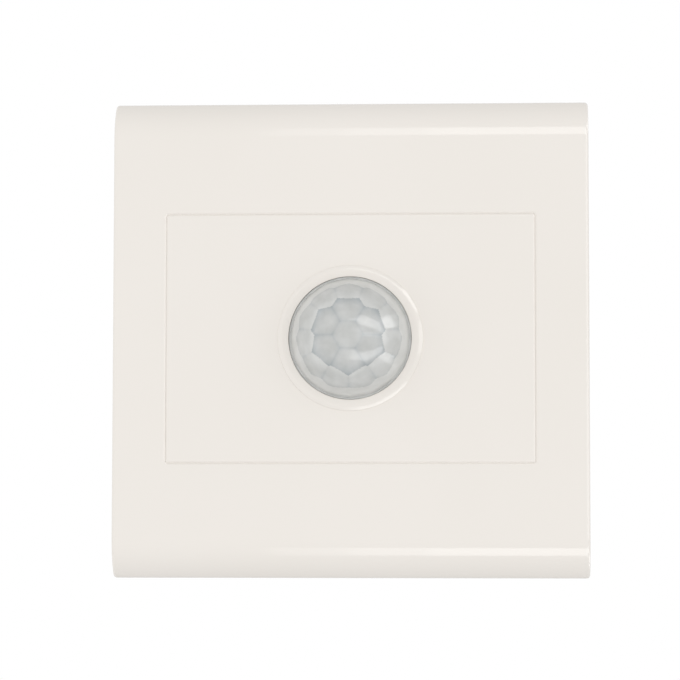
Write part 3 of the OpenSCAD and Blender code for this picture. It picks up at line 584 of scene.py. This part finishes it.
# Long softboxes above and below that only show as reflections, softer ones on the right, and a white room
# that is brightest in front and dimmer overhead and underfoot
light = {
    "room": 1.025, "overhead": 0.62, "front": 0.2,
    # lower and upper edge, brightness, and what is added to it on the right, from x = bright on
    "strips": {"upper": (103, 182, 2.2, 1.3), "lower": (-206, -118, 2.5, 0.7)},
    "distance": 200, "right": 450, "ends": (-31, -11, 10), "bright": 70,
    # lower and upper edge, rear and front edge, and brightness
    "sides": ((173, 286, -180, 180, 3.3), (-350, -173, -180, 180, 3.0), (-60, 175, 90, 1300, 1.6)), "sideX": 480,
}


def addLamp(name, width, height, radiance, place):
    lamp = bpy.data.lights.new(name, "AREA")
    lamp.shape = "RECTANGLE"
    lamp.size, lamp.size_y = width * 0.001, height * 0.001
    lamp.energy = radiance * math.pi * lamp.size * lamp.size_y
    lampObject = bpy.data.objects.new(name, lamp)
    spot = Matrix.Translation(place.to_translation() * 0.001) @ place.to_3x3().to_4x4()
    lampObject.matrix_world = upright @ spot
    lampObject.visible_camera = False
    lampObject.visible_diffuse = False
    scene.collection.objects.link(lampObject)


for name, (low, high, radiance, brighter) in light["strips"].items():
    lengths = [(left, radiance / len(light["ends"])) for left in light["ends"]]  # fades out at its left end
    for number, (left, share) in enumerate(lengths + [(light["bright"], brighter)]):
        place = Matrix.Translation(((left + light["right"]) / 2, (low + high) / 2, light["distance"] + number))
        addLamp(f"softbox_{name}_{number}", light["right"] - left, high - low, share, place)
toLeft = Matrix.Rotation(math.radians(90), 4, "Y")
for number, (low, high, back, front, radiance) in enumerate(light["sides"]):
    place = Matrix.Translation((light["sideX"], (low + high) / 2, (back + front) / 2)) @ toLeft
    addLamp(f"side_softbox_{number}", front - back, high - low, radiance, place)


def seenDirectly(tree):
    # 1 where the camera sees it, straight or through a reflection or glass, so that the background is white there
    path = addNode(tree, "ShaderNodeLightPath")
    mirrored = addNode(tree, "ShaderNodeMath", {"operation": "MAXIMUM"}, {
        0: path.outputs["Is Glossy Ray"], 1: path.outputs["Is Transmission Ray"]})
    seen = addNode(tree, "ShaderNodeMath", {"operation": "MAXIMUM"}, {
        0: path.outputs["Is Camera Ray"], 1: mirrored.outputs[0]})
    return seen.outputs[0]


world = bpy.data.worlds.new("white_room")
world.use_nodes = True
scene.world = world
tree = world.node_tree
tree.nodes.clear()
direction = addNode(tree, "ShaderNodeTexCoord").outputs["Generated"]
parts = addNode(tree, "ShaderNodeSeparateXYZ", {}, {"Vector": direction})
steep = addNode(tree, "ShaderNodeMath", {"operation": "MULTIPLY"}, {0: parts.outputs["Z"], 1: parts.outputs["Z"]})
dimmer = addNode(tree, "ShaderNodeMath", {"operation": "MULTIPLY_ADD"}, {
    0: steep.outputs[0], 1: -light["room"] * light["overhead"], 2: light["room"]})
ahead = addNode(tree, "ShaderNodeMath", {"operation": "MULTIPLY_ADD"}, {
    0: parts.outputs["Y"], 1: -light["room"] * light["front"], 2: dimmer.outputs[0]})
strength = addNode(tree, "ShaderNodeMix", {}, {"Factor": seenDirectly(tree), "A": ahead.outputs[0], "B": 1.0})
room = addNode(tree, "ShaderNodeBackground", {}, {"Color": (1, 1, 1, 1), "Strength": strength.outputs["Result"]})
addNode(tree, "ShaderNodeOutputWorld", {}, {"Surface": room.outputs[0]})

# Pale matt floor, in metres, well below the switch, which hangs on a wall. It takes the object's shadow, throws
# no light or shade back, and fades to white far out, so that no edge shows
ground = {
    "half": 8, "below": 1, "shaded": 0.15,
    "colour": "#F6F6F6", "roughness": 0.9, "fibreMm": 2, "fibreHeightMm": 0.2, "fibre": 0.1,
}
floorBm = bmesh.new()
bmesh.ops.create_grid(floorBm, x_segments=1, y_segments=1, size=ground["half"],
                      matrix=Matrix.Translation((0, 0, -ground["below"])))
floorMesh = bpy.data.meshes.new("floor")
floorBm.to_mesh(floorMesh)
floorBm.free()
floor = bpy.data.objects.new("floor", floorMesh)
scene.collection.objects.link(floor)
floor.visible_diffuse = floor.visible_glossy = floor.visible_shadow = False
paper, tree, shader, place = newMaterial("matt_paper")
fibre = addNode(tree, "ShaderNodeTexNoise", {}, {"Vector": place, "Scale": perMm(ground["fibreMm"]), "Detail": 4})
pulp = addNode(tree, "ShaderNodeBump", {}, {
    "Height": fibre.outputs["Fac"], "Strength": ground["fibre"], "Distance": ground["fibreHeightMm"] / 1000})
tree.links.new(pulp.outputs["Normal"], shader.inputs["Normal"])
shader.inputs["Base Color"].default_value = linear(ground["colour"])
shader.inputs["Roughness"].default_value = ground["roughness"]
reach = addNode(tree, "ShaderNodeMapping", {}, {"Vector": place, "Scale": (1 / ground["half"], 1 / ground["half"], 0)})
near = addNode(tree, "ShaderNodeTexGradient", {"gradient_type": "SPHERICAL"}, {"Vector": reach.outputs[0]})
fade = addNode(tree, "ShaderNodeMath", {"operation": "MULTIPLY_ADD"}, {
    0: near.outputs["Fac"], 1: -ground["shaded"], 2: 1})
paler = addNode(tree, "ShaderNodeMath", {"operation": "MULTIPLY"}, {0: seenDirectly(tree), 1: fade.outputs[0]})
white = addNode(tree, "ShaderNodeEmission", {}, {"Color": (1, 1, 1, 1), "Strength": 1})
blend = addNode(tree, "ShaderNodeMixShader", {}, {0: paler.outputs[0], 1: shader.outputs[0], 2: white.outputs[0]})
tree.links.new(blend.outputs[0], tree.nodes["Material Output"].inputs["Surface"])
floorMesh.materials.append(paper)
print("camera, light and floor set")
